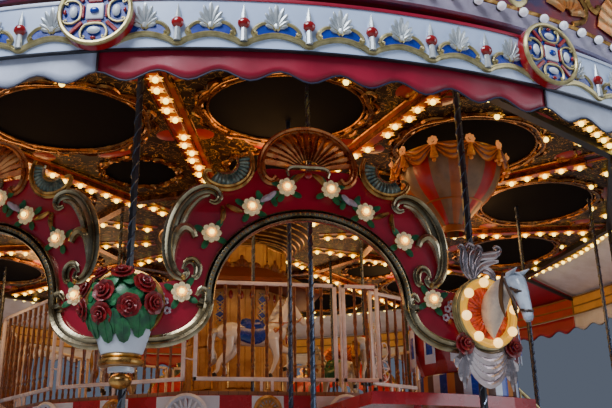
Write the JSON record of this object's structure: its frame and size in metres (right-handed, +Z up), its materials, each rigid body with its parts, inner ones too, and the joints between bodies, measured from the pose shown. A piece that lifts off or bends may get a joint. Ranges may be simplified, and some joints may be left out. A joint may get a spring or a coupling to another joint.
{
  "type": "double-decker fairground carousel",
  "caption": "Double-decker carousel with an arched rim of posts, a fenced upper deck, galloping horses on poles, a balloon car, a painted fascia ring and crown boards.",
  "frame": {"origin": "on the axis of rotation, on the ground", "axes": "+Z up along the axis; -Y through the middle of the front bay; +X to the right of someone facing the front bay"},
  "size_m": [12.76, 12.76, 8.1703],
  "materials": {
    "dark_steel": "dark brown-grey gloss paint on steel tube",
    "red_paint": "deep red gloss paint",
    "floor_boards": "brown varnished boards",
    "cream_paint": "cream and ochre painted boards",
    "white_paint": "white gloss paint",
    "gold_paint": "antique gold paint over carving",
    "ceiling_paint": "dark brown painted panels with gold scrolls",
    "red_cloth": "coated canvas in alternate red and white bays",
    "crimson_paint": "crimson gloss paint on carved boards",
    "vase_paint": "white gloss paint with dark red roses",
    "horse_paint": "white gloss paint",
    "balloon_cloth": "red and ochre painted gores"
  },
  "bodies": {
    "base": {"ground_base": "dark_steel", "centre_mast": "dark_steel"},
    "gate": {"deck_gate": "white_paint"},
    "balloon_car": {"balloon": "balloon_cloth", "balloon_basket": "red_paint"},
    "horse_pair_1_body": {"horse_pair_1": "horse_paint"},
    "horse_pair_2_body": {"horse_pair_2": "horse_paint"},
    "horse_pair_3_body": {"horse_pair_3": "horse_paint"},
    "horse_pair_4_body": {"horse_pair_4": "horse_paint"},
    "horse_pair_5_body": {"horse_pair_5": "horse_paint"},
    "horse_pair_6_body": {"horse_pair_6": "horse_paint"},
    "deck_horse_1_body": {"deck_horse_1": "horse_paint"},
    "deck_horse_2_body": {"deck_horse_2": "horse_paint"},
    "deck_horse_3_body": {"deck_horse_3": "horse_paint"},
    "deck_horse_4_body": {"deck_horse_4": "horse_paint"},
    "deck_horse_5_body": {"deck_horse_5": "horse_paint"},
    "deck_horse_6_body": {"deck_horse_6": "horse_paint"},
    "turntable": {"top_frame": "dark_steel", "platform_skirt": "red_paint", "deck_fascia": "red_paint", "housing_canopy": "red_paint", "balcony": "red_paint", "lower_platform": "floor_boards", "upper_deck": "floor_boards", "stair": "floor_boards", "lower_housing": "cream_paint", "upper_housing": "cream_paint", "crown_boards": "cream_paint", "deck_fence": "white_paint", "fascia_ring": "white_paint", "deck_columns": "gold_paint", "trumpet_cornice": "gold_paint", "light_arms": "gold_paint", "stair_handrail_outer": "gold_paint", "stair_handrail_inner": "gold_paint", "finial": "gold_paint", "ceiling": "ceiling_paint", "awning": "red_cloth", "valance": "red_cloth", "roof": "red_cloth", "arcade_front": "crimson_paint", "rose_vase_front": "vase_paint", "horse_shield_front_left": "gold_paint", "horse_shield_front_right": "gold_paint", "arcade_back": "crimson_paint", "rose_vase_back": "vase_paint", "horse_shield_back_left": "gold_paint", "horse_shield_back_right": "gold_paint"}
  },
  "joints": [
    {"name": "turntable_spin", "type": "hinge", "parent": "base", "child": "turntable", "pos_m": [0, 0, 0.2], "axis": [0, 0, 1], "continuous": true},
    {"name": "gate_swing", "type": "hinge", "parent": "turntable", "child": "gate", "pos_m": [0.78681, -2.93642, 2.7], "axis": [0, 0, 1], "range_deg": [-60, 30]},
    {"name": "balloon_spin", "type": "hinge", "parent": "turntable", "child": "balloon_car", "pos_m": [1.67671, -4.068, 2.62], "axis": [0, 0, 1], "continuous": true},
    {"name": "pair_gallop_1", "type": "slide", "parent": "turntable", "child": "horse_pair_1_body", "axis": [0, 0, 1], "range_m": [-0.15, 0.15]},
    {"name": "pair_gallop_2", "type": "slide", "parent": "turntable", "child": "horse_pair_2_body", "axis": [0, 0, 1], "range_m": [-0.15, 0.15]},
    {"name": "pair_gallop_3", "type": "slide", "parent": "turntable", "child": "horse_pair_3_body", "axis": [0, 0, 1], "range_m": [-0.15, 0.15]},
    {"name": "pair_gallop_4", "type": "slide", "parent": "turntable", "child": "horse_pair_4_body", "axis": [0, 0, 1], "range_m": [-0.15, 0.15]},
    {"name": "pair_gallop_5", "type": "slide", "parent": "turntable", "child": "horse_pair_5_body", "axis": [0, 0, 1], "range_m": [-0.15, 0.15]},
    {"name": "pair_gallop_6", "type": "slide", "parent": "turntable", "child": "horse_pair_6_body", "axis": [0, 0, 1], "range_m": [-0.15, 0.15]},
    {"name": "deck_gallop_1", "type": "slide", "parent": "turntable", "child": "deck_horse_1_body", "axis": [0, 0, 1], "range_m": [-0.15, 0.15]},
    {"name": "deck_gallop_2", "type": "slide", "parent": "turntable", "child": "deck_horse_2_body", "axis": [0, 0, 1], "range_m": [-0.15, 0.15]},
    {"name": "deck_gallop_3", "type": "slide", "parent": "turntable", "child": "deck_horse_3_body", "axis": [0, 0, 1], "range_m": [-0.15, 0.15]},
    {"name": "deck_gallop_4", "type": "slide", "parent": "turntable", "child": "deck_horse_4_body", "axis": [0, 0, 1], "range_m": [-0.15, 0.15]},
    {"name": "deck_gallop_5", "type": "slide", "parent": "turntable", "child": "deck_horse_5_body", "axis": [0, 0, 1], "range_m": [-0.15, 0.15]},
    {"name": "deck_gallop_6", "type": "slide", "parent": "turntable", "child": "deck_horse_6_body", "axis": [0, 0, 1], "range_m": [-0.15, 0.15]}
  ],
  "couplings": [
    {"joint": "pair_gallop_2", "follows": "pair_gallop_1", "ratio": -1},
    {"joint": "pair_gallop_3", "follows": "pair_gallop_1", "ratio": 1},
    {"joint": "pair_gallop_4", "follows": "pair_gallop_1", "ratio": -1},
    {"joint": "pair_gallop_5", "follows": "pair_gallop_1", "ratio": 1},
    {"joint": "pair_gallop_6", "follows": "pair_gallop_1", "ratio": -1},
    {"joint": "deck_gallop_1", "follows": "pair_gallop_1", "ratio": -1},
    {"joint": "deck_gallop_2", "follows": "pair_gallop_1", "ratio": 1},
    {"joint": "deck_gallop_3", "follows": "pair_gallop_1", "ratio": -1},
    {"joint": "deck_gallop_4", "follows": "pair_gallop_1", "ratio": 1},
    {"joint": "deck_gallop_5", "follows": "pair_gallop_1", "ratio": -1},
    {"joint": "deck_gallop_6", "follows": "pair_gallop_1", "ratio": 1}
  ]
}
